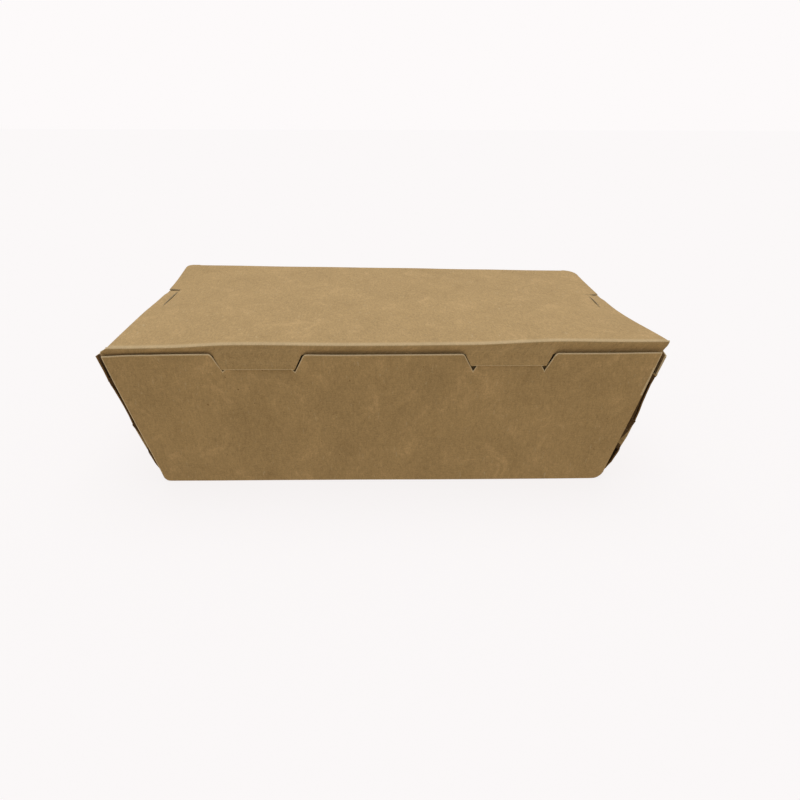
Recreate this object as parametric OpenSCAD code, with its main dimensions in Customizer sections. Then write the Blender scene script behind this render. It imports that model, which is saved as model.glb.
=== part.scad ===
// Takeout box folded and glued from one blank of creased kraft board.
// Width runs along X with the front wall at -Y, and the origin is the middle of the base.

/* [Tray] */
// Overall width at the rim
rim_w = 200; // [170:5:240]
// Overall depth at the rim
rim_d = 120; // [100:5:160]
// Height of the front rim above the table
rim_h = 57; // [45:1:75]
// Outward lean of the four walls in degrees
wall_lean = 12; // [8:1:15]
// Thickness of the board
board = 0.5; // [0.4:0.05:0.7]
// How far the end walls stand outside the cut side edges of the front wall at the rim
corner_reveal = 1.5; // [1.2:0.1:2.5]
// Radius of the lower corners of the front and back walls
foot_r = 3.2; // [2:0.2:5]

/* [Glued flaps] */
// Width of the four flaps glued behind the front and back walls
glue_w = 18; // [10:1:22]
// Distance from the base up to the lower end of a glued flap
glue_foot = 14; // [8:1:18]
// Slant of both ends of a glued flap in degrees
glue_slant = 15; // [8:1:25]

/* [Windows] */
// Distance from the middle of the box to the middle of each window
window_x = 44.5; // [38:0.5:52]
// Width of a window at the rim
window_top_w = 32.5; // [28:0.5:38]
// Width of a window between the feet of its two notches
window_foot_w = 25.6; // [22:0.2:27]
// Depth of the crease that each tongue folds in along
window_h = 6.4; // [6:0.2:8]
// Further depth of the notches at both ends of that crease
notch_h = 1.4; // [1:0.1:1.8]
// Inward fold of each tongue in degrees
tongue_tilt = 58; // [56:1:75]

/* [Lid] */
// Height of the closed lid above the front rim
lid_rise = 3.3; // [2.5:0.1:5]
// Depth of the lip below the front rim
lip_reach = 8.6; // [8.2:0.1:10]
// Length of the two side flaps
side_flap_h = 13; // [9:1:18]
// Slant of both ends of a side flap in degrees
side_flap_slant = 30; // [20:1:40]
// Gap between each side flap and its end wall
side_gap = 1.6; // [1:0.1:2.5]
// Radius of the two back corners of the lid
back_corner_r = 4; // [2:0.5:6]
// Distance from the side fold in to the long cut of each slit
slit_in = 6; // [4.5:0.5:9]
// Distance from the front fold back to the near end of that cut
slit_start = 58; // [48:1:62]
// Length of that cut
slit_run = 22; // [15:1:30]
// Width that the cuts have opened to
slit_w = 0.4; // [0.3:0.05:0.8]

/* [Fits] */
// Gap between the lid and the tray wherever they pass
clearance = 0.4; // [0.35:0.05:0.6]

/* [Colours] */
// Board of the tray
tray_colour = [0.66, 0.54, 0.38];
// Board of the lid
lid_colour = [0.7, 0.59, 0.42];

/* [Hidden] */
lean_run = rim_h * tan(wall_lean);
base_w = rim_w - 2 * lean_run;
base_d = rim_d - 2 * lean_run;
// Lengths along a wall, measured up from the base crease
slope_h = rim_h / cos(wall_lean);
crease_s = slope_h - window_h;
notch_s = crease_s - notch_h;
lip_s = slope_h - lip_reach;
glue_top_s = lip_s - 2 * clearance;
// Glued boards are pressed this far together, so that each flap is one with its wall
glue_press = board / 10;
// The lid's upper face and its crease at the back, which it turns about, in the middle of its board
lid_z = rim_h + lid_rise;
hinge_y = base_d / 2 + lid_z * tan(wall_lean);
back_wall_s = (lid_z - board - clearance) / cos(wall_lean);
lip_offset = board + clearance;
side_offset = board + side_gap;
lid_half_w = base_w / 2 + lid_z * tan(wall_lean) - side_offset / cos(wall_lean);
lid_front_y = lip_offset / cos(wall_lean) - hinge_y;
// The lip ends above the fold of each tongue far enough to clear it
lip_over_tongue = (lip_offset + board) / tan(tongue_tilt) + clearance / sin(tongue_tilt);
// Half the length of the crease that a tongue folds in along
crease_half = window_foot_w / 2 - notch_h;

// Half the width of a wall at a height up its slope, for the width of its base
function half_at(width, s) = width / 2 + s * sin(wall_lean);

// Points of a round corner
function corner(centre, radius, from, to, steps = 6) =
    [for (i = [0:steps]) centre + radius * [cos(from + (to - from) * i / steps),
                                            sin(from + (to - from) * i / steps)]];

// Turns an outline into a leaning panel, with its foot on the X axis and its outside towards -Y
module panel(offset = 0) {
    rotate([90 + wall_lean, 0, 0])
        translate([0, 0, -offset - board])
            linear_extrude(board)
                children();
}

module at_front() {
    translate([0, -base_d / 2, 0])
        children();
}

module at_end() {
    rotate([0, 0, 90])
        translate([0, -base_w / 2, 0])
            children();
}

module both_ways(axis) {
    for (side = [0, 1])
        mirror(side * axis)
            children();
}

// Front or back wall with cut side edges and rounded lower corners
module wall_outline(top_s) {
    foot_half = half_at(base_w, foot_r) - board / cos(wall_lean) - clearance / 2;
    top_half = half_at(base_w, top_s) - corner_reveal;
    right = concat(
        corner([foot_half - foot_r, foot_r], foot_r, -90, 0),
        [[top_half, top_s]]);
    left = [for (i = [len(right) - 1:-1:0]) [-right[i][0], right[i][1]]];
    polygon(concat(right, left));
}

// One window with its slanted sides and the two notches at its foot
module window_outline() {
    top_half = window_top_w / 2;
    foot_half = window_foot_w / 2;
    flare = (top_half - foot_half) / (slope_h - notch_s);
    over = board;
    polygon([
        [-top_half - flare * over, slope_h + over],
        [-foot_half, notch_s],
        [-crease_half, crease_s],
        [crease_half, crease_s],
        [foot_half, notch_s],
        [top_half + flare * over, slope_h + over]]);
}

// The board cut free from a window, folded in along the window's lower crease
module tongue() {
    foot_half = crease_half - clearance / 2;
    tip_half = window_top_w / 2 - 2 * clearance;
    translate([window_x, 0, 0])
        rotate([90 + wall_lean, 0, 0])
            translate([0, crease_s, 0])
                rotate([-tongue_tilt, 0, 0])
                    translate([0, 0, -board])
                        linear_extrude(board)
                            polygon([
                                [-foot_half, 0],
                                [foot_half, 0],
                                [tip_half, window_h],
                                [-tip_half, window_h]]);
}

// A flap that is folded round from an end wall and glued behind the front or back wall
module glue_flap() {
    drop = glue_w * tan(glue_slant);
    panel(board - glue_press)
        polygon([
            [half_at(base_w, glue_foot) - board / 2, glue_foot],
            [half_at(base_w, glue_top_s) - board / 2, glue_top_s],
            [half_at(base_w, glue_top_s) - glue_w, glue_top_s - drop],
            [half_at(base_w, glue_foot) - glue_w, glue_foot + drop]]);
}

// End wall, drawn back behind the front and back walls where its flaps are folded round
module end_outline() {
    back = board + clearance;
    right = [
        [half_at(base_d, 0), 0],
        [half_at(base_d, glue_foot), glue_foot],
        [half_at(base_d, glue_foot) - back, glue_foot],
        [half_at(base_d, glue_top_s) - back, glue_top_s],
        [half_at(base_d, glue_top_s), glue_top_s],
        [half_at(base_d, slope_h), slope_h]];
    left = [for (i = [len(right) - 1:-1:0]) [-right[i][0], right[i][1]]];
    polygon(concat(right, left));
}

module base() {
    translate([-base_w / 2, -base_d / 2, 0])
        cube([base_w, base_d, board]);
}

module front_wall() {
    at_front()
        panel()
            difference() {
                wall_outline(slope_h);
                both_ways([1, 0, 0])
                    translate([window_x, 0])
                        window_outline();
            }
}

module back_wall() {
    rotate([0, 0, 180])
        at_front()
            panel()
                wall_outline(back_wall_s);
}

module tray() {
    color(tray_colour) {
        base();
        front_wall();
        back_wall();
        both_ways([1, 0, 0]) {
            at_end()
                panel()
                    end_outline();
            at_front()
                tongue();
            both_ways([0, 1, 0])
                at_front()
                    glue_flap();
        }
    }
}

// The lid's flat top, with square front corners and round back corners
module lid_top_outline() {
    back_y = hinge_y - clearance;
    round_x = lid_half_w - back_corner_r;
    right = concat(
        [[lid_half_w, lid_front_y]],
        corner([round_x, back_y - back_corner_r], back_corner_r, 0, 90));
    left = [for (i = [len(right) - 1:-1:0]) [-right[i][0], right[i][1]]];
    polygon(concat(right, left));
}

// The two cuts of one slit: along the side fold, then out to the fold at the far end
module slit_outline() {
    far_y = lid_front_y + slit_start + slit_run;
    inner_x = lid_half_w - slit_in;
    translate([inner_x - slit_w / 2, lid_front_y + slit_start])
        square([slit_w, slit_run]);
    translate([inner_x - slit_w / 2, far_y - slit_w / 2])
        square([slit_in, slit_w]);
}

// Lip below the front fold, cut higher in front of each tongue
module lip_outline() {
    top_s = (lid_z - (lip_offset + board) * sin(wall_lean)) / cos(wall_lean);
    tongue_s = crease_s + lip_over_tongue;
    edge = side_offset / cos(wall_lean);
    step_in = crease_half + 2 * clearance;
    step_out = step_in + tongue_s - lip_s;
    corner_cut = glue_w;
    right = [
        [window_x - step_out, lip_s],
        [window_x - step_in, tongue_s],
        [window_x + step_in, tongue_s],
        [window_x + step_out, lip_s],
        [half_at(base_w, lip_s) - corner_cut, lip_s],
        [half_at(base_w, slope_h) - edge, slope_h - lip_reach / 2],
        [half_at(base_w, top_s) - edge, top_s]];
    left = [for (i = [len(right) - 1:-1:0]) [-right[i][0], right[i][1]]];
    polygon(concat(right, left));
}

// Side flap with slanted ends, hanging inside an end wall
module side_flap_outline() {
    top_s = (lid_z - (side_offset + board) * sin(wall_lean)) / cos(wall_lean);
    foot_s = top_s - side_flap_h;
    half = -lid_front_y - lip_offset;
    foot_half = half - side_flap_h * tan(side_flap_slant);
    polygon([
        [-foot_half, foot_s],
        [foot_half, foot_s],
        [half - back_corner_r, top_s],
        [-half, top_s]]);
}

module lid() {
    color(lid_colour) {
        translate([0, 0, lid_z - board])
            linear_extrude(board)
                difference() {
                    lid_top_outline();
                    both_ways([1, 0, 0])
                        slit_outline();
                }
        at_front()
            panel(lip_offset)
                lip_outline();
        both_ways([1, 0, 0])
            at_end()
                panel(side_offset)
                    side_flap_outline();
    }
}

tray();
lid();
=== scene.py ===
# Kraft takeout box: its tray and lid are folded here from flat blanks of board, over the CAD frame.
import bmesh
import bpy
from math import acos, atan, cos, exp, pi, radians, sin, tan
from mathutils import Matrix, Vector, noise


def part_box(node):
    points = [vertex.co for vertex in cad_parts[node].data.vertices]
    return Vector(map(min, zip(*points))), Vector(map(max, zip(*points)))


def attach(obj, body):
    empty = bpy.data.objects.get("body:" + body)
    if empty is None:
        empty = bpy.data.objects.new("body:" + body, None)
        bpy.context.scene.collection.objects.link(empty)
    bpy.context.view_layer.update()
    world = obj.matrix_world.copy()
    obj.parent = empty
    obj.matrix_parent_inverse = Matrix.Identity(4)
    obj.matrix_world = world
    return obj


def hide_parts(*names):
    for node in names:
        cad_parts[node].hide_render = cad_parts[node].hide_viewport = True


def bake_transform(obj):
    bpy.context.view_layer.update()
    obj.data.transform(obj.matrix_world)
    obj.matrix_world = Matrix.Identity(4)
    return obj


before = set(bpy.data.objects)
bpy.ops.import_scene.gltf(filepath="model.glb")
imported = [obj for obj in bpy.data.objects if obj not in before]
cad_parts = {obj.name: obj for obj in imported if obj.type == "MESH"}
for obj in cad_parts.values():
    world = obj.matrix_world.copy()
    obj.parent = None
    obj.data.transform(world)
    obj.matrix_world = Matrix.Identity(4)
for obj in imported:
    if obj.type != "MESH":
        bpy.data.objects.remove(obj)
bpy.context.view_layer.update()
noise.seed_set(1)  # it starts from the clock otherwise
mm = 0.001

# Facts of the board that both pieces share, in the CAD's own sizes
trayLow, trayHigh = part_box("tray")
lidLow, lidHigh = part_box("lid")
board = {
    "thick": 0.5 * mm,
    "lean": radians(12),  # outward lean of every wall
    "foldRadius": 0.8 * mm,  # outside of a fold
    "cell": 4 * mm,  # spacing of the cuts that let a panel bow
    "dents": 0.15 * mm,  # soft unevenness all over
    "dentSize": 28 * mm,
    "wear": 0.32 * mm,  # pale board beside the cut edges
    "worn": 0.13 * mm,  # rounding of the cut edges
}
rimHeight = 57 * mm
slopeLength = rimHeight / cos(board["lean"])
baseHalfW = trayHigh.x - rimHeight * tan(board["lean"])
baseHalfD = -trayLow.y - rimHeight * tan(board["lean"])
lidTop = lidHigh.z
lidHalfW = lidHigh.x
lidFront = lidLow.y
wallTurn = pi / 2 - board["lean"]
flapTurn = pi / 2 + board["lean"]
up = Vector((0, 0, 1))
# First material slot of each kind of board that isn't plain, in threes as boardMaterials gives them; the last two
# carry painted shade at the tray's front corners
kinds = {"worn": 3, "ridge": 6, "frontEdge": 9, "shaded": 12}

# The crease at the back, shared by the back wall and the lid
backCrease = {
    "y": baseHalfD + lidTop * tan(board["lean"]),
    "slope": lidTop / cos(board["lean"]),
    "radius": 0.95 * mm,
    "margin": 0.5 * mm,  # flat board on both sides of the fold
    "left": -92 * mm,
    "right": 92 * mm,
}
backCrease["half"] = backCrease["radius"] * tan(flapTurn / 2) + backCrease["margin"]


# Curves and folds

def smooth(low, high, value):
    t = min(max((value - low) / (high - low), 0), 1)
    return t * t * (3 - 2 * t)


def mix(a, b, t):
    return a + (b - a) * t


def follow(stops, place):
    for (x0, y0), (x1, y1) in zip(stops, stops[1:]):
        if place <= x1:
            return mix(y0, y1, smooth(x0, x1, place))
    return stops[-1][1]


def foldReach(angle, radius):
    return radius * tan(angle / 2)


# Bends board round a crease through origin: what lies further outward turns towards the inside
def fold(points, origin, outward, inside, angle, radius=board["foldRadius"]):
    reach = foldReach(angle, radius)
    for point in points:
        offset = point.co - origin
        along = offset.dot(outward)
        rise = offset.dot(inside)
        if along <= -reach:
            continue
        turn = angle * min((along + reach) / (2 * reach), 1)
        if along < reach:
            far = -reach + radius * sin(turn)
            high = radius * (1 - cos(turn))
        else:
            far = along * cos(turn)
            high = along * sin(turn)
        point.co += (far - rise * sin(turn) - along) * outward + (high + rise * cos(turn) - rise) * inside


# Cutting flat board

def flatBoard(outline):
    flat = bmesh.new()
    flat.faces.new([flat.verts.new((x, y, 0)) for x, y in outline])
    return flat


def cutAcross(flat, point, direction, test=None):
    faces = [face for face in flat.faces if test is None or test(face.calc_center_median())]
    # Keys of a dictionary keep their order, so each run cuts alike
    edges = dict.fromkeys(edge for face in faces for edge in face.edges)
    verts = dict.fromkeys(vert for face in faces for vert in face.verts)
    bmesh.ops.bisect_plane(flat, geom=list(verts) + list(edges) + faces, dist=1e-7,
                           plane_co=point, plane_no=direction)


def cutGrid(flat, stepX, stepY, test=None):
    for axis, step in ((0, stepX), (1, stepY)):
        faces = [face for face in flat.faces if test is None or test(face.calc_center_median())]
        places = [vert.co[axis] for face in faces for vert in face.verts]
        direction = Vector((1, 0, 0)) if axis == 0 else Vector((0, 1, 0))
        for index in range(int(min(places) / step) - 1, int(max(places) / step) + 2):
            cutAcross(flat, direction * index * step, direction, test)


def cutFold(flat, origin, outward, angle, radius=board["foldRadius"], test=None):
    reach = foldReach(angle, radius)
    for step in range(-3, 4):
        cutAcross(flat, origin + outward * reach * step / 3, outward, test)


# Takes away the board inside a convex outline
def cutOut(flat, corners):
    centre = sum(corners, Vector()) / len(corners)
    span = max((corner - centre).length for corner in corners) + 2 * board["cell"]
    sides = []
    for here, there in zip(corners, corners[1:] + corners[:1]):
        direction = (there - here).cross(up).normalized()
        sides.append((here, direction if direction.dot(centre - here) < 0 else -direction))
    for here, direction in sides:
        cutAcross(flat, here, direction, lambda middle: (middle - centre).length < span)
    gone = [face for face in flat.faces
            if all((face.calc_center_median() - here).dot(direction) < 0 for here, direction in sides)]
    bmesh.ops.delete(flat, geom=gone, context="FACES")


def faceOutside(flat, outside):
    bmesh.ops.remove_doubles(flat, verts=flat.verts, dist=0.04 * mm)
    stray = [edge for edge in flat.edges if not edge.link_faces]
    bmesh.ops.delete(flat, geom=stray, context="EDGES")
    for face in flat.faces:
        face.normal_update()
    wrong = [face for face in flat.faces if face.normal.dot(outside) < 0]
    bmesh.ops.reverse_faces(flat, faces=wrong)


# Marks the board beside a cut edge as worn pale, or along a crease or a tab's lower end as a pale line that is partly
# worn board and partly painted highlight
def wearAndHighlightAlong(flat, points, width, slot):
    for here, there in zip(points, points[1:]):
        here, there = Vector((*here, 0)), Vector((*there, 0))
        run = there - here
        across = run.cross(up).normalized()

        def distance(place):
            share = min(max((place - here).dot(run) / run.length_squared, 0), 1)
            return (place - here - run * share).length

        for side in (-1, 1):
            cutAcross(flat, here + across * width * side, across, lambda middle: distance(middle) < board["cell"])
        for face in flat.faces:
            if distance(face.calc_center_median()) < width * 0.7:
                face.material_index = slot


# The place of each corner on the blank, which the kraft's fibres follow
def markBlank(flat):
    layer = flat.loops.layers.uv.new("blank")
    for face in flat.faces:
        for loop in face.loops:
            loop[layer].uv = loop.vert.co.xy / (100 * mm)


# How the used box has bowed, as seen in the photo

lidBow = {
    "front": [(-97, -0.9), (-80, -0.75), (-55, 0.15), (0, -0.3), (25, -0.1), (60, 1.1), (100, 0.7)],
    "back": -1.72,  # drop of the back's right corner
    "sagLeft": 2.8,
    "sagRight": 2.3,
    "shiftLeft": [(0, 1.9), (0.5, 0.6), (1, 0.8)],
    "shiftRight": [(0, 2.5), (0.5, -0.4), (1, -1.6)],
    "tabs": [(56, 0), (59.8, 1)],
    "ends": [(51, 0), (60.3, 1)],
}
trayBow = {
    "front": [(-100, -0.9), (-88, -0.35), (-68, -0.2), (0, -0.75), (60, -0.4), (100, -0.4)],
    "shiftLeft": [(0, 0), (0.12, 0.8), (0.5, 0.9), (1, 0.8)],
    "shiftRight": [(0, 0.4), (0.5, -2.4), (1, -1.6)],
    "sagLeft": 2.2,
    "foot": {-1: 1.4, 1: -1.3},
    "footForward": [(-90, 1.0), (90, 2.1)],
    "dip": 0.6,
}


# In mm, what the places in both tables are measured by
bowSpan = {"front": -59.8, "depth": 117.8, "lidHalf": 98.5, "rimHalf": 100}


def depthShare(point):
    return min(max((point.y / mm - bowSpan["front"]) / bowSpan["depth"], 0), 1)


def dents(point):
    return noise.noise_vector(point / board["dentSize"]) * board["dents"]


def trayShift(point):
    t = depthShare(point)
    x = point.x / mm
    height = smooth(0, 58, point.z / mm)
    across = (x + bowSpan["rimHalf"]) / (2 * bowSpan["rimHalf"])
    sideways = mix(follow(trayBow["shiftLeft"], t), follow(trayBow["shiftRight"], t), across)
    foot = trayBow["foot"][1 if x > 0 else -1] * (1 - t) * (1 - height) ** 2 * (x / 90) ** 2
    rise = follow(trayBow["front"], x) * (1 - t) ** 3 + lidBow["back"] * x / bowSpan["lidHalf"] * t ** 3
    rise -= trayBow["sagLeft"] * sin(pi * t) * height * max(-x / bowSpan["lidHalf"], 0) ** 3
    forward = follow(trayBow["footForward"], x) * (1 - t) ** 2 * (1 - height)
    return Vector((height * sideways + foot, -forward, height * rise)) * mm


def lidShift(point, part="top"):
    t = depthShare(point)
    x = point.x / mm
    share = min(abs(x) / bowSpan["lidHalf"], 1) ** 3
    rise = mix(follow(lidBow["front"], x), lidBow["back"] * x / bowSpan["lidHalf"], t)
    if x < 0:
        rise -= lidBow["sagLeft"] * sin(pi * t ** 1.67) * share
    else:
        rise -= lidBow["sagRight"] * sin(pi * t) * share
    across = (x + bowSpan["lidHalf"]) / (2 * bowSpan["lidHalf"])
    sideways = mix(follow(lidBow["shiftLeft"], t), follow(lidBow["shiftRight"], t), across)
    own = Vector((sideways, 0, rise)) * mm
    if part == "lip":  # its tabs stay in their windows
        height = point.z / mm
        own *= mix(follow(lidBow["tabs"], height), follow(lidBow["ends"], height), smooth(78, 92, abs(x)))
    if part == "flap":  # it stays inside its end wall
        stay = trayShift(point)
        own.x = mix(stay.x, own.x, smooth(55, 59.5, point.z / mm))
    return own


# Windows in the front wall, with the tabs of the lip that show in them

window = {
    "centre": 44.5 * mm,
    "topHalf": 16.25 * mm,
    "footHalf": 12.8 * mm,
    "creaseHalf": 11.4 * mm,
    "depth": {-1: 5.9 * mm, 1: 4.7 * mm},  # left and right, below the rim
    "notchDepth": 7.15 * mm,
    "tipHalf": 15.45 * mm,
    "tilt": radians(58),
    "foldRadius": 0.6 * mm,
}


def creaseDepth(x):
    return window["depth"][1 if x > 0 else -1]


def windowEdge(centre):
    creaseSlope = slopeLength - creaseDepth(centre)
    half = [
        (window["topHalf"] + 0.9 * mm, slopeLength),
        (window["topHalf"] + 0.25 * mm, slopeLength - 0.2 * mm),
        (window["topHalf"] - 0.4 * mm, slopeLength - 0.9 * mm),
        (window["footHalf"], slopeLength - window["notchDepth"]),
        (window["creaseHalf"], creaseSlope),
        (window["tipHalf"], slopeLength),
    ]
    return [(centre - x, s) for x, s in half] + [(centre + x, s) for x, s in reversed(half)]


def roundCorner(centreX, centreY, radius, start, end, steps=5):
    return [(centreX + radius * cos(mix(start, end, i / steps)), centreY + radius * sin(mix(start, end, i / steps)))
            for i in range(steps + 1)]


# Tray: one strip from the front wall over the base to the back wall, and two end walls with glued flaps

tray = {
    "reveal": 1.5 * mm,  # how far the end walls stand outside the front wall's side edges
    "footRadius": 3.2 * mm,
    "wornRadius": 5.2 * mm,  # of the lower corner at the front and right
    "glueFoot": 14 * mm,
    "glueTop": slopeLength - 9.4 * mm,
    "glueWidth": 18 * mm,
    "glueSlant": radians(15),
    "glueRadius": 0.6 * mm,
    "reliefGap": 0.12 * mm,
    "earDrop": {-1: 0, 1: 1.8 * mm},  # how far the front top corner has sunk, left and right
    "backDrop": 6 * mm,  # and the back top corners, which the lid covers
    "earRun": 14 * mm,  # from a sunk front corner back to where the rim is level
    "backRun": 9 * mm,
    "backRound": 6 * mm,  # of the back wall's own top corners
    "rubRun": (4 * mm, 19 * mm),  # the rubbed line down the right edge of the front wall, in and down
    "rubWidth": 0.6 * mm,
    # How far each end wall stands out beside the front wall, in mm by height up the slope
    "standOut": {
        -1: [(0, 0), (4, 0), (11, 0.5), (18, 0.9), (27, 1.0), (30, 0.65), (35, 0.5), (42, 0.6), (47, 1), (49, 0.6),
             (58, 0.7)],
        1: [(0, 0), (5, 0.3), (9, 1), (14, 1.6), (20, 2.1), (29, 1.9), (37, 1.1), (43, 0.7), (47, 0.9), (49, 1),
            (58, 1.1)],
    },
}
# The corners at the front (-1) and the back (1), in mm: the front ones have opened with use, the others are tight
tray["corners"] = {
    -1: {"cut": 3, "inset": 1.2, "relief": 1.9, "recess": 1.4, "creaseTop": 27.8, "earFoot": 47.6, "earIn": 0.35,
         "bow": 2.0, "lean": radians(2.4)},
    1: {"cut": 1.35, "inset": 0.55, "relief": 1.3, "recess": 1.3, "creaseTop": 46.6, "earFoot": 49.2, "earIn": 0.12,
        "bow": 0, "lean": 0},
}
baseReach = foldReach(wallTurn, board["foldRadius"])
lean = sin(board["lean"])  # how far a wall leans out for each length up its slope


def buildStrip():
    footHalf = baseHalfW + tray["footRadius"] * lean - board["thick"] / cos(board["lean"]) - 0.2 * mm
    side = roundCorner(footHalf - tray["footRadius"], tray["footRadius"], tray["footRadius"], -pi / 2, 0)
    worn = roundCorner(footHalf - tray["wornRadius"], tray["wornRadius"], tray["wornRadius"], -pi / 2, 0)
    topHalf = baseHalfW + slopeLength * lean - tray["reveal"]
    backTop = backCrease["slope"] - backCrease["half"]
    backHalf = baseHalfW + backTop * lean - tray["reveal"]
    notchX = footHalf - tray["footRadius"] + 0.5 * mm
    baseX = baseHalfW - baseReach
    front = worn + [(topHalf, slopeLength)]
    front += windowEdge(window["centre"])[::-1] + windowEdge(-window["centre"])[::-1]
    front += [(-x, s) for x, s in reversed(side + [(topHalf, slopeLength)])]
    corner = tray["backRound"]
    shoulder = [(backHalf - corner * lean, backTop - corner), (backHalf - corner * 0.5, backTop - corner * 0.25)]
    back = side + shoulder + [(backCrease["right"], backTop), (backCrease["left"], backTop)]
    back += [(-x, s) for x, s in reversed(shoulder)]
    back += [(-x, s) for x, s in reversed(side)]
    corners = {end: [(baseX, baseHalfD - tray["corners"][end]["cut"] * mm),
                     (notchX + end * mm - 1 * mm, baseHalfD - baseReach)] for end in (-1, 1)}
    outline = [(x, -y) for x, y in corners[-1]] + [(x, -baseHalfD - s) for x, s in front]
    outline += [(-x, -y) for x, y in reversed(corners[-1])] + [(-x, y) for x, y in corners[1]]
    outline += [(x, baseHalfD + s) for x, s in reversed(back)] + list(reversed(corners[1]))
    flat = flatBoard(outline)
    cutGrid(flat, board["cell"], board["cell"])
    for side in (-1, 1):
        cutFold(flat, Vector((0, side * baseHalfD, 0)), Vector((0, side, 0)), wallTurn)
    toFront = Vector((0, -1, 0))
    creases = []
    for centre in (-window["centre"], window["centre"]):
        crease = Vector((centre, creaseDepth(centre) - slopeLength - baseHalfD, 0))
        creases.append(crease)
        nearWindow = lambda middle: (
            abs(middle.x - centre) < window["topHalf"] + 2 * mm and middle.y < crease.y + 9 * mm)
        cutGrid(flat, 2 * mm, 1.5 * mm, nearWindow)
        cutFold(flat, crease, toFront, window["tilt"], window["foldRadius"], nearWindow)
    cut = [(footHalf, -baseHalfD - tray["footRadius"]), (topHalf, -baseHalfD - slopeLength)]
    for centre in (window["centre"], -window["centre"]):
        edge = [(x, -baseHalfD - s) for x, s in windowEdge(centre)]
        cut += edge[:6:-1]
        wearAndHighlightAlong(flat, cut, board["wear"], kinds["worn"])
        cut = edge[4::-1]
    wearAndHighlightAlong(flat, cut + [(-topHalf, -baseHalfD - slopeLength), (-footHalf, -baseHalfD - tray["footRadius"])],
              board["wear"], kinds["worn"])
    rubIn, rubDown = tray["rubRun"]
    wearAndHighlightAlong(flat, [(topHalf, -baseHalfD - slopeLength), (topHalf - rubIn, -baseHalfD - slopeLength + rubDown)],
              tray["rubWidth"], kinds["worn"])
    faceOutside(flat, -up)
    markBlank(flat)
    for crease in creases:
        tongue = []
        for vert in flat.verts:
            share = (crease.y - vert.co.y) / creaseDepth(crease.x)
            half = mix(window["creaseHalf"], window["tipHalf"], max(share, 0)) + (0.3 if share > 0 else 1.1) * mm
            if abs(vert.co.x - crease.x) < half and vert.co.y < 0:
                tongue.append(vert)
        fold(tongue, crease, toFront, up, window["tilt"], window["foldRadius"])
    for side in (-1, 1):
        wall = [vert for vert in flat.verts if vert.co.y * side > 0]
        fold(wall, Vector((0, side * baseHalfD, 0)), Vector((0, side, 0)), up, wallTurn)
    return flat


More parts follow.
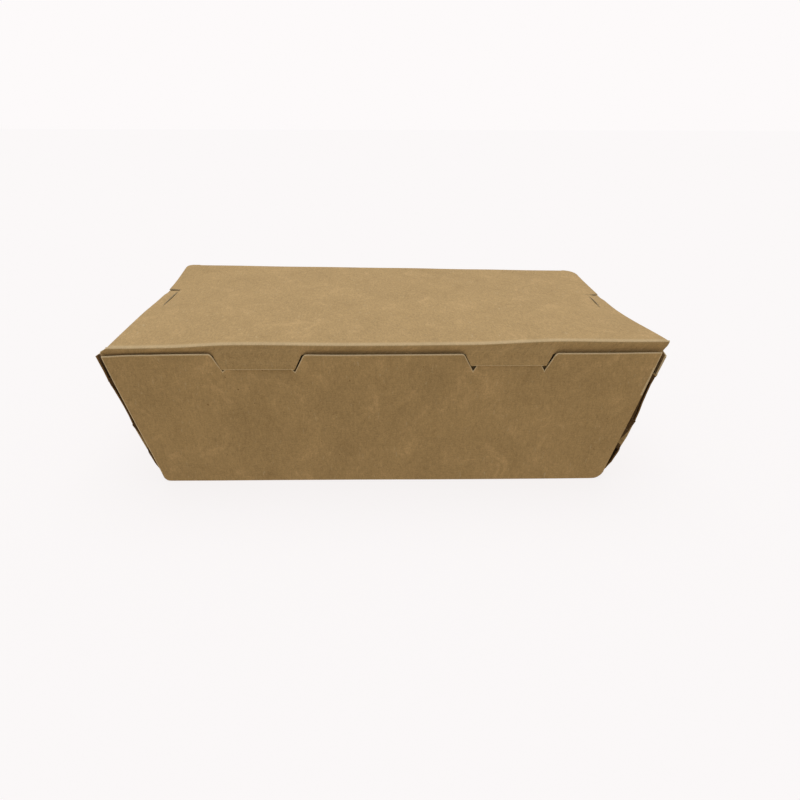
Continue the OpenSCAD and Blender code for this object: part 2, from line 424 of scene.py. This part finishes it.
def buildEnd(side):
    half = lambda s: baseHalfD + s * lean
    creaseTurn = atan(lean)
    gap = tray["reliefGap"]
    foot, top = tray["glueFoot"], tray["glueTop"]
    drop = tray["glueWidth"] * tan(tray["glueSlant"])
    alongCrease = Vector((cos(creaseTurn), sin(creaseTurn)))  # up the wall, and outward with it
    awayFromCrease = Vector((-sin(creaseTurn), cos(creaseTurn)))

    # A corner of the glued flap, from where it lies on the front wall, turned back to the flat blank
    def flapCorner(s, rise):
        along = rise * cos(creaseTurn) - tray["glueWidth"] * sin(creaseTurn)
        away = tray["glueWidth"] * cos(creaseTurn) + rise * sin(creaseTurn)
        corner = Vector((s, half(s))) + along * alongCrease + away * awayFromCrease
        return corner.x, corner.y

    def cornerEdge(cut, inset, relief, recess, creaseTop, earFoot, earIn, **others):
        points = [
            (-baseReach, baseHalfD - cut * mm),
            (2 * mm, half(2 * mm) - cut * mm),
            (5 * mm, half(5 * mm) - (cut + earIn) / 2 * mm),
            (9 * mm, half(9 * mm) - (earIn + 0.5) * mm),
            (foot, half(foot) - (earIn + 0.4) * mm),
            (foot, half(foot) - relief * mm),
            (foot + gap, half(foot) - relief * mm),
            (foot + gap, half(foot) - inset * mm + gap),
            flapCorner(foot, drop),
            flapCorner(top, -drop),
            (top, half(top) - (inset - 1) * mm),
            (creaseTop * mm + gap, half(creaseTop * mm) - (inset - 1) * mm),
            (creaseTop * mm, half(creaseTop * mm) - relief * mm),
            (creaseTop * mm + gap, half(creaseTop * mm) - (recess + 0.1) * mm),
            (earFoot * mm, half(earFoot * mm) - recess * mm),
            (earFoot * mm + gap, half(earFoot * mm) - earIn * mm),
            (slopeLength, half(slopeLength) - earIn * mm),
        ]
        return points

    frontEdge = cornerEdge(**tray["corners"][-1])
    frontEdge[-1] = (slopeLength - tray["earDrop"][side], frontEdge[-1][1])
    frontEdge.append((slopeLength, half(slopeLength) - tray["earRun"]))
    backEdge = cornerEdge(**tray["corners"][1])
    backEdge[-1] = (slopeLength - tray["backDrop"], half(slopeLength - tray["backDrop"]) - 0.12 * mm)
    backEdge.append((slopeLength, half(slopeLength) - tray["backRun"]))
    outline = backEdge + [(s, -y) for s, y in reversed(frontEdge)]
    flat = flatBoard([(side * (baseHalfW + s), y) for s, y in outline])
    cutGrid(flat, board["cell"], board["cell"])
    outward = Vector((side, 0, 0))
    foldLine = outward * baseHalfW
    cutFold(flat, foldLine, outward, wallTurn)
    glues = {}
    for end, corner in tray["corners"].items():
        origin = Vector((side * baseHalfW, end * (baseHalfD - corner["inset"] * mm / cos(creaseTurn)), 0))
        away = Vector((-side * sin(creaseTurn), end * cos(creaseTurn), 0))
        cutFold(flat, origin, away, acos(lean ** 2), tray["glueRadius"])
        glues[end] = (origin, away)
    frontOrigin, frontAway = glues[-1]
    shadeStart = 2.2  # mm before the crease of the front flap
    cutAcross(flat, frontOrigin - frontAway * shadeStart * mm, frontAway,
              lambda middle: abs(middle.x) > baseHalfW + 6 * mm)
    for face in flat.faces:  # painted shade at the front: darker cut edges and inside, and a dark band on the flap
        middle = face.calc_center_median()
        beyond = (middle - frontOrigin).dot(frontAway) / mm
        s = (abs(middle.x) - baseHalfW) / mm
        if -shadeStart < beyond and not (side > 0 and s > tray["corners"][-1]["earFoot"]):
            shaded = 1.2 < beyond < 5 and tray["glueFoot"] / mm < s < 49
            face.material_index = kinds["shaded" if shaded else "frontEdge"]
    faceOutside(flat, -up)
    markBlank(flat)
    for end, (origin, away) in glues.items():
        corner = tray["corners"][end]
        flap = []
        for vert in flat.verts:
            beyond = (vert.co - origin).dot(away)
            s = abs(vert.co.x) - baseHalfW
            creased = foot + gap / 2 < s < corner["creaseTop"] * mm + gap / 2
            if creased or beyond > 0.93 * mm and (s < corner["earFoot"] * mm or beyond > 1.4 * mm):
                flap.append(vert)
            if beyond > 0:
                vert.co.z += corner["bow"] * mm * smooth(0, 3, beyond / mm) * (1 - smooth(5, 15, beyond / mm))
        fold(flap, origin, away, up, acos(lean ** 2) - corner["lean"], tray["glueRadius"])
    fold(flat.verts, foldLine, outward, up, wallTurn)
    for vert in flat.verts:
        s = vert.co.z / cos(board["lean"]) / mm
        vert.co.x += side * follow(tray["standOut"][side], s) * (1 - smooth(0, 0.9, depthShare(vert.co))) * mm
    return flat


def joinInto(whole, part):
    mesh = bpy.data.meshes.new("part")
    part.to_mesh(mesh)
    whole.from_mesh(mesh)
    part.free()
    bpy.data.meshes.remove(mesh)


def buildTray():
    whole = buildStrip()
    for side in (-1, 1):
        joinInto(whole, buildEnd(side))
    bmesh.ops.remove_doubles(whole, verts=whole.verts, dist=0.002 * mm)
    for vert in whole.verts:
        place = vert.co.copy()
        nearFront = place.y < -baseHalfD - 0.5 * mm and place.y < -baseHalfD - place.z * tan(board["lean"]) + 0.3 * mm
        if nearFront:  # the wall gives under each tab
            below = (slopeLength - creaseDepth(place.x) - place.z / cos(board["lean"])) / mm
            across = abs(abs(place.x) - window["centre"]) / mm
            if below > -1:
                give = trayBow["dip"] * exp(-max(below, 0) / 1.6) * (1 - smooth(9, 14, across))
                vert.co += Vector((0, cos(board["lean"]), sin(board["lean"]))) * give * mm
        vert.co += trayShift(place) + dents(place)
    return whole


# Lid: flat top with the front lip and two side flaps, creased down, and two L-shaped slits

lid = {
    "lipReach": 8.6 * mm,  # below the rim
    "tabGap": 0.75 * mm,
    "tabDrop": 0.35 * mm,  # follows the sunk rim
    "behind": 0.8 * mm,  # of the lip's shoulders, more than the CAD's own clearance
    "inTop": 0.35 * mm,  # of its tabs, behind the wall's outside at the rim
    "proud": 0.45 * mm,  # and before it at their ends
    "flapReach": 13 * mm,
    "flapSlant": radians(30),
    "backCorner": {-1: (3.4 * mm, 5.5 * mm), 1: (5.9 * mm, 9 * mm)},  # left and right, across and along
    "sideInset": 0.45 * mm,  # where the fold's round side seems to end
    "ridge": 0.3 * mm,  # half width of the pale line on the front fold and below the tabs, partly worn board and partly painted highlight
    "frontRadius": 0.56 * mm,
    "sideRadius": 0.6 * mm,
    "slitSink": 0.5 * mm,
    "slitLift": 0.45 * mm,
    # Strips beside the slits: side, long cut, where it starts, and the end at the cut and at the fold
    "sunk": [(-1, -92.9, -3.5, (22.35, 25.2)), (1, 92.4, -6, (15.15, 18.9))],
}
lidReach = foldReach(flapTurn, lid["frontRadius"])
sideReach = foldReach(flapTurn, lid["sideRadius"])
rimBelowFold = (lidTop - rimHeight) / cos(board["lean"])
slits = [
    # Left, then right: the long cut, then the cut out to the side fold, in mm on the lid
    [(-93.2, -3.5), (-92.75, -3.5), (-92.5, 21), (-93.0, 21)],
    [(-99.5, 24.5), (-99.5, 25.8), (-92.1, 22.55), (-92.1, 22.2)],
    [(91.75, -6), (92.2, -6), (92.9, 12.5), (92.4, 12.5)],
    [(91.2, 15.0), (91.2, 15.3), (99.5, 19.4), (99.5, 18.5)],
]


def lipEdge():
    shoulder = rimBelowFold + lid["lipReach"]
    slotTop = rimBelowFold + 0.9 * mm
    ends = [(lidHalfW - 0.7 * mm, rimBelowFold + 4.3 * mm), (lidHalfW - 18.3 * mm, shoulder)]
    points = [(lidHalfW - 0.1 * mm, 0.3 * mm)] + ends
    for centre in (window["centre"], -window["centre"]):
        tab = rimBelowFold + creaseDepth(centre) + lid["tabDrop"]
        flare = (window["topHalf"] - 0.4 * mm - window["footHalf"]) / (window["notchDepth"] - 0.9 * mm)
        tabHalf = window["footHalf"] + flare * (window["notchDepth"] + rimBelowFold - tab) - 0.35 * mm
        toe = window["footHalf"] - 0.9 * mm  # the shoulders' lower ends reach in below the tab
        half = [
            (toe, shoulder),
            (toe, tab + 0.3 * mm),
            (window["topHalf"] + 0.3 * mm, tab + 0.3 * mm),
            (window["topHalf"] + 0.4 * mm, slotTop),
            (window["topHalf"] - lid["tabGap"], slotTop),
            (tabHalf, tab),
        ]
        points += [(centre + x, d) for x, d in half] + [(centre - x, d) for x, d in reversed(half)]
    points += [(-x, d) for x, d in reversed(ends)]
    return points + [(-lidHalfW - 1.9 * mm, 2.1 * mm), (0.1 * mm - lidHalfW, 0.3 * mm)]


def buildLid():
    backY = backCrease["y"] - 0.4 * mm
    cutY = backCrease["y"] - backCrease["half"]
    flapHalf = -lidFront - 0.9 * mm
    notchY = lidFront + lidReach

    flapEnds = {side: backY - along - 0.3 * mm for side, (across, along) in lid["backCorner"].items()}

    def sideEdge(side):
        cornerX, cornerY = lid["backCorner"][side]
        flapEnd = flapEnds[side]
        sideX = lidHalfW - lid["sideInset"]
        bend = [(sideX - cornerX * (1 - cos(turn)), backY - cornerY * (1 - sin(turn)))
                for turn in (pi / 2 * step / 7 for step in range(7))]
        return [
            (lidHalfW, notchY),
            (lidHalfW - sideReach, notchY + 0.05 * mm),
            (lidHalfW + 0.6 * mm, notchY + 0.3 * mm),
            (lidHalfW + lid["flapReach"], -flapHalf + lid["flapReach"] * tan(lid["flapSlant"])),
            (lidHalfW + lid["flapReach"], flapEnd - lid["flapReach"] * tan(lid["flapSlant"])),
            (lidHalfW + 0.6 * mm, flapEnd - 0.1 * mm),
            (lidHalfW - sideReach, flapEnd),
        ] + bend + [(backCrease["right"] + 0.1 * mm, backY), (backCrease["right"], cutY)]

    outline = [(x, lidFront - d) for x, d in reversed(lipEdge())]
    outline += sideEdge(1) + [(-x, y) for x, y in reversed(sideEdge(-1))]
    flat = flatBoard(outline)
    cutGrid(flat, board["cell"], board["cell"])
    for slit in slits:
        cutOut(flat, [Vector((x * mm, y * mm, 0)) for x, y in slit])
    onLip = lambda middle: middle.y < lidFront + 2 * mm
    cutGrid(flat, 1.5 * mm, 1 * mm, onLip)
    cutFold(flat, Vector((0, lidFront, 0)), Vector((0, -1, 0)), flapTurn, lid["frontRadius"])
    for side in (-1, 1):
        cutFold(flat, Vector((side * lidHalfW, 0, 0)), Vector((side, 0, 0)), flapTurn, lid["sideRadius"],
                lambda middle: abs(middle.x) > lidHalfW - 8 * mm)
    # Painted highlight, partly worn board too: a pale line along the front fold and along each tab's lower end
    wearAndHighlightAlong(flat, [(-lidHalfW, lidFront), (lidHalfW, lidFront)], lid["ridge"], kinds["ridge"])
    for centre in (-window["centre"], window["centre"]):
        tab = lidFront - rimBelowFold - creaseDepth(centre) - lid["tabDrop"]
        tabHalf = window["footHalf"] - 0.5 * mm
        wearAndHighlightAlong(flat, [(centre - tabHalf, tab), (centre + tabHalf, tab)], lid["ridge"], kinds["ridge"])
    faceOutside(flat, up)
    markBlank(flat)
    parts = {}
    for vert in flat.verts:
        vert.co.z = lidTop
        place = vert.co / mm
        parts[vert] = "lip" if vert.co.y < lidFront else "flap" if abs(vert.co.x) > lidHalfW else "top"
        for side, inner, start, end in lid["sunk"]:
            if place.x * side > inner * side and start < place.y < mix(*end, (place.x - 92.2 * side) / (7.3 * side)):
                along = (place.y - start) / (end[0] - start)
                nearCut = max(1 - abs(place.x - inner) / 5.6, 0)
                lift = lid["slitLift"] * nearCut * sin(pi * min(along, 1))
                vert.co.z += lift - lid["slitSink"] * smooth(0.7, 1, along)
        beyond = (lidFront - vert.co.y) / mm
        if beyond > 0:  # shoulders go behind the wall, tabs come out through the windows
            below = beyond - rimBelowFold / mm
            across = abs(abs(vert.co.x) - window["centre"]) / mm
            open = smooth(-1, 2.5, below)
            tabShare = 1 - smooth(mix(13, 15.9, open), mix(19, 16.3, open), across)
            if below > (creaseDepth(vert.co.x) + lid["tabDrop"]) / mm + 0.1:
                tabShare = 0
            rim = smooth(-2, 0.8, below)
            tab = (0.9 * mm - lid["inTop"]) * rim + (lid["inTop"] + lid["proud"]) * smooth(1, 6, below)
            vert.co.z += mix(-lid["behind"] * rim, tab, tabShare)
    fold([vert for vert in flat.verts if vert.co.y < notchY + 0.01 * mm],
         Vector((0, lidFront, lidTop)), Vector((0, -1, 0)), -up, flapTurn, lid["frontRadius"])
    for side in (-1, 1):
        flap = [vert for vert in flat.verts
                if vert.co.x * side > lidHalfW - sideReach * 1.01
                and notchY + 0.02 * mm < vert.co.y < flapEnds[side] + 0.05 * mm
                and vert.co.z > lidTop - 1 * mm]
        fold(flap, Vector((side * lidHalfW, 0, lidTop)), Vector((side, 0, 0)), -up, flapTurn, lid["sideRadius"])
    for vert, part in parts.items():
        place = vert.co.copy()
        vert.co += lidShift(place, part) + dents(place)
    return flat


# The crease between the back wall and the lid, a strip of the same board
def buildCrease():
    low = backCrease["y"] - backCrease["half"]
    high = backCrease["y"] + backCrease["half"]
    flat = flatBoard([(backCrease["left"], low), (backCrease["right"], low),
                      (backCrease["right"], high), (backCrease["left"], high)])
    origin = Vector((0, backCrease["y"], 0))
    cutGrid(flat, board["cell"], board["cell"])
    for step in range(-7, 8):
        away = step / 7 * foldReach(flapTurn, backCrease["radius"])
        cutAcross(flat, origin + Vector((0, away, 0)), Vector((0, 1, 0)))
    faceOutside(flat, up)
    markBlank(flat)
    for vert in flat.verts:
        vert.co.z = lidTop
    origin.z = lidTop
    fold(flat.verts, origin, Vector((0, 1, 0)), -up, flapTurn, backCrease["radius"])
    for vert in flat.verts:
        place = vert.co.copy()
        vert.co += lidShift(place) + dents(place)
    return flat


# Gives a folded blank its thickness and turns it into an object
def makePiece(name, folded, materials):
    mesh = bpy.data.meshes.new(name)
    folded.to_mesh(mesh)
    folded.free()
    piece = bpy.data.objects.new(name, mesh)
    bpy.context.scene.collection.objects.link(piece)
    for material in materials:
        mesh.materials.append(material)
    thick = piece.modifiers.new("thick", "SOLIDIFY")
    thick.thickness = board["thick"]
    thick.offset = -1
    thick.use_quality_normals = True
    thick.material_offset = 1
    thick.material_offset_rim = 2
    worn = piece.modifiers.new("worn", "BEVEL")
    worn.limit_method = "ANGLE"
    worn.angle_limit = radians(62)
    worn.width = board["worn"]
    worn.segments = 2
    solid = bpy.data.meshes.new_from_object(piece.evaluated_get(bpy.context.evaluated_depsgraph_get()))
    piece.modifiers.clear()
    piece.data = solid
    solid.name = name
    bpy.data.meshes.remove(mesh)
    solid.polygons.foreach_set("use_smooth", [True] * len(solid.polygons))
    solid.set_sharp_from_angle(angle=radians(35))
    return piece


# Materials

def paint(red, green, blue):
    linear = [(value / 255 / 12.92) if value < 11 else ((value / 255 + 0.055) / 1.055) ** 2.4
              for value in (red, green, blue)]
    return (*linear, 1)


# A socket whose sums and products add Math nodes
class Signal:
    def __init__(self, shader, socket):
        self.shader = shader
        self.socket = socket

    def maths(self, operation, first, second):
        return self.shader.node("ShaderNodeMath", {"operation": operation}, {0: first, 1: second})

    def __add__(self, other):
        return self.maths("ADD", self, other)

    def __sub__(self, other):
        return self.maths("SUBTRACT", self, other)

    def __rsub__(self, other):
        return self.maths("SUBTRACT", other, self)

    def __mul__(self, other):
        return self.maths("MULTIPLY", self, other)

    def __gt__(self, other):
        return self.maths("GREATER_THAN", self, other)

    __radd__ = __add__
    __rmul__ = __mul__


class Shader:
    def __init__(self, tree):
        self.tree = tree
        tree.nodes.clear()

    def node(self, kind, settings, values, output=0):
        made = self.tree.nodes.new(kind)
        for name, value in settings.items():
            setattr(made, name, value)
        for name, value in values.items():
            if isinstance(value, Signal):
                self.tree.links.new(value.socket, made.inputs[name])
            else:
                made.inputs[name].default_value = value
        return Signal(self, made.outputs[output]) if made.outputs else None

    def blend(self, share, first, second):
        return self.node("ShaderNodeMix", {"data_type": "RGBA"}, {0: share, 6: first, 7: second}, 2)

    def ray(self, kind):
        return self.node("ShaderNodeLightPath", {}, {}, kind)

    # Noise with features of that size in mm, across and along the fibres
    def mottle(self, blank, sizeX, sizeY, detail=2.0, roughness=0.5, distortion=0.0):
        scaled = self.node("ShaderNodeVectorMath", {"operation": "MULTIPLY"},
                           {0: blank, 1: (100 / sizeX, 100 / sizeY, 1)})
        return self.node("ShaderNodeTexNoise", {}, {"Vector": scaled, "Scale": 1.0, "Detail": detail,
                                                    "Roughness": roughness, "Distortion": distortion})

    def span(self, value, low, high):
        return self.node("ShaderNodeMapRange", {"interpolation_type": "SMOOTHSTEP"},
                         {"Value": value, "From Min": low, "From Max": high})


kraft = {
    "outer": paint(181, 151, 105),
    "warm": paint(216, 180, 129),
    "dull": paint(140, 112, 71),
    "inner": paint(186, 158, 116),
    "edge": paint(206, 186, 150),
    "fleck": paint(112, 84, 52),
    "pale": paint(206, 184, 146),
    "worn": paint(214, 190, 150),
    # Pale ridge line: partly worn board, partly painted highlight
    "ridge": paint(208, 183, 141),
    # Painted shade: the next two darken the tray's cut edges and board in the gap beside the front wall
    "edgeShade": paint(128, 98, 60),
    "shade": paint(94, 70, 44),
}


def kraftBoard(name, colour, streaks=1.0, grain=1.0, foldWearAndHighlight=False):
    material = bpy.data.materials.new(name)
    material.use_nodes = True
    shader = Shader(material.node_tree)
    blank = shader.node("ShaderNodeUVMap", {"uv_map": "blank"}, {})
    clouds = shader.mottle(blank, 26, 30, 3.0)
    patches = shader.mottle(blank, 11, 15, 7.0, 0.74, 0.9)
    streak = shader.mottle(blank, 2.4, 6, 4.0, 0.65, 1.2)
    fine = shader.mottle(blank, 0.8, 2.4, 3.0, 0.65)
    cross = shader.mottle(blank, 2.2, 0.7, 3.0, 0.65)
    dust = shader.mottle(blank, 0.5, 0.5, 2.0, 0.7)
    tone = (1 + (clouds - 0.5) * (0.26 * streaks) + (streak - 0.5) * (0.24 * streaks)
            + (fine - 0.5) * (0.5 * grain) + (cross - 0.5) * (0.34 * grain) + (dust - 0.5) * (0.7 * grain))
    body = shader.blend(shader.span(patches, 0.5, 0.72) * (0.5 * streaks), colour, kraft["warm"])
    body = shader.blend(shader.span(patches, 0.5, 0.26) * (0.34 * streaks), body, kraft["dull"])
    body = shader.node("ShaderNodeVectorMath", {"operation": "SCALE"}, {0: body, "Scale": tone})
    flecks = shader.span(shader.mottle(blank, 1.3, 2.0, 1.0), 0.765, 0.79)
    pales = shader.span(shader.mottle(blank, 0.7, 3.4, 1.0, 0.5, 0.8), 0.68, 0.76)
    body = shader.blend(pales * 0.4, body, kraft["pale"])
    body = shader.blend(flecks * 0.6, body, kraft["fleck"])
    if foldWearAndHighlight:  # beside the lid's front fold, a pale band: partly worn crease, partly painted highlight
        along = shader.node("ShaderNodeSeparateXYZ", {}, {0: blank}, 1)
        fold = lidFront / (100 * mm)
        band = shader.span(along, fold + 0.036, fold + 0.008) * (along > fold - 0.004)
        body = shader.blend(band * (0.25 + patches * 0.5), body, kraft["pale"])
    bump = shader.node("ShaderNodeBump", {}, {"Height": fine * 0.5 + cross * 0.3 + dust * 0.4, "Strength": 0.35,
                                              "Distance": 0.08 * mm})
    surface = shader.node("ShaderNodeBsdfPrincipled", {}, {
        "Base Color": body, "Roughness": 0.9, "Specular IOR Level": 0.2, "Normal": bump})
    shader.node("ShaderNodeOutputMaterial", {}, {"Surface": surface})
    return material


def rawEdge(name, colour):
    material = bpy.data.materials.new(name)
    material.use_nodes = True
    shader = Shader(material.node_tree)
    place = shader.node("ShaderNodeTexCoord", {}, {}, 3)
    fibres = shader.node("ShaderNodeTexNoise", {}, {"Vector": place, "Scale": 1400.0, "Detail": 2.0})
    tone = 1 + (fibres - 0.5) * 0.4
    body = shader.node("ShaderNodeVectorMath", {"operation": "SCALE"}, {0: colour[:3], "Scale": tone})
    bump = shader.node("ShaderNodeBump", {}, {"Height": fibres, "Strength": 0.4, "Distance": 0.05 * mm})
    surface = shader.node("ShaderNodeBsdfPrincipled", {}, {
        "Base Color": body, "Roughness": 0.95, "Specular IOR Level": 0.1, "Normal": bump})
    shader.node("ShaderNodeOutputMaterial", {}, {"Surface": surface})
    return material


# In threes, as the thickness gives them: the outside, the inside and the cut edge of plain, worn, creased board; the
# creased board's pale colour is partly worn and partly painted highlight
def boardMaterials(name, streaks, grain):
    outside = kraftBoard("kraft" + name, kraft["outer"], streaks, grain, name == "Lid")
    inside = kraftBoard("inside" + name, kraft["inner"], 0.5)
    edge = rawEdge("edge" + name, kraft["edge"])
    worn = kraftBoard("worn" + name, kraft["worn"], 0.4)
    ridge = kraftBoard("ridge" + name, kraft["ridge"], 0.4)
    return [outside, inside, edge, worn, inside, edge, ridge, inside, edge]


trayMaterials = boardMaterials("Tray", 1.0, 1.0)
# Painted shade for the tray's front corners: a dark board and a darker cut edge, in two more threes
shade = kraftBoard("shadeTray", kraft["shade"], 0.4)
shadedEdge = rawEdge("shadedEdgeTray", kraft["edgeShade"])
trayMaterials += [trayMaterials[0], shade, shadedEdge, shade, shade, shadedEdge]
lidMaterials = boardMaterials("Lid", 0.7, 1.1)

trayPiece = makePiece("foldedTray", buildTray(), trayMaterials)
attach(trayPiece, "tray")
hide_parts("tray")
print("tray:", len(trayPiece.data.polygons), "faces")

lidPiece = makePiece("foldedLid", buildLid(), lidMaterials)
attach(lidPiece, "lid")
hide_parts("lid")
print("lid:", len(lidPiece.data.polygons), "faces")

creasePiece = makePiece("backCrease", buildCrease(), lidMaterials)
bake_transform(creasePiece)
print("crease:", len(creasePiece.data.polygons), "faces")


# Camera, from a fit to the corners in the photo

camera = {
    "place": Vector((-0.1, -296.5, 140.5)) * mm,
    "pitch": radians(-23.19),
    "yaw": radians(1.43),
    "roll": radians(0.21),
    "lens": 32.085,
}


def placeCamera():
    data = bpy.data.cameras.new("camera")
    data.lens = camera["lens"]
    data.sensor_width = 36
    data.clip_start = 0.01
    data.clip_end = 20
    eye = bpy.data.objects.new("camera", data)
    turn = (Matrix.Rotation(-camera["yaw"], 4, "Z") @ Matrix.Rotation(pi / 2 + camera["pitch"], 4, "X")
            @ Matrix.Rotation(camera["roll"], 4, "Z"))
    eye.matrix_world = Matrix.Translation(camera["place"]) @ turn
    bpy.context.scene.collection.objects.link(eye)
    bpy.context.scene.camera = eye


placeCamera()

# Stage: a pale floor and backdrop, level light from all round and a soft one from above

stage = {
    "pale": (0.982, 0.955, 0.955, 1),
    "bounce": (0.515, 0.447, 0.348, 1),  # level light that the floor sends back to the box
    "sky": 0.5,
    "sun": 1.35,
    "floorHalf": 3.0,
}


def buildStage():
    material = bpy.data.materials.new("floor")
    material.use_nodes = True
    shader = Shader(material.node_tree)
    seen = shader.ray("Is Camera Ray")
    matt = shader.node("ShaderNodeBsdfDiffuse", {}, {"Color": (0.9, 0.88, 0.88, 1)})
    glow = shader.node("ShaderNodeEmission", {}, {"Color": stage["pale"]})
    shown = shader.node("ShaderNodeMixShader", {}, {0: 0.12, 1: glow, 2: matt})
    bounce = shader.node("ShaderNodeEmission", {}, {"Color": stage["bounce"]})
    both = shader.node("ShaderNodeMixShader", {}, {0: seen, 1: bounce, 2: shown})
    shader.node("ShaderNodeOutputMaterial", {}, {"Surface": both})
    flat = bmesh.new()
    bmesh.ops.create_grid(flat, x_segments=1, y_segments=1, size=stage["floorHalf"])
    bmesh.ops.translate(flat, verts=flat.verts, vec=(0, 0, -0.2 * mm))
    mesh = bpy.data.meshes.new("floor")
    flat.to_mesh(mesh)
    flat.free()
    mesh.materials.append(material)
    floor = bpy.data.objects.new("floor", mesh)
    bpy.context.scene.collection.objects.link(floor)
    light = bpy.data.lights.new("softLight", "SUN")
    light.energy = stage["sun"]
    light.angle = radians(60)
    lamp = bpy.data.objects.new("softLight", light)
    lamp.matrix_world = Matrix.Translation((0, 0, 1)) @ Matrix.Rotation(radians(-6), 4, "X")
    bpy.context.scene.collection.objects.link(lamp)

    world = bpy.data.worlds.new("world")
    world.use_nodes = True
    bpy.context.scene.world = world
    sky = Shader(world.node_tree)
    direct = sky.ray("Is Camera Ray") + sky.ray("Is Glossy Ray") + sky.ray("Is Transmission Ray")
    around = sky.node("ShaderNodeBackground", {}, {"Color": (1, 1, 1, 1), "Strength": stage["sky"]})
    backdrop = sky.node("ShaderNodeBackground", {}, {"Color": stage["pale"], "Strength": 1.0})
    mixed = sky.node("ShaderNodeMixShader", {}, {0: direct, 1: around, 2: backdrop})
    sky.node("ShaderNodeOutputWorld", {}, {"Surface": mixed})


buildStage()
bpy.context.scene.view_settings.view_transform = "Standard"
print("stage: floor, light and camera")
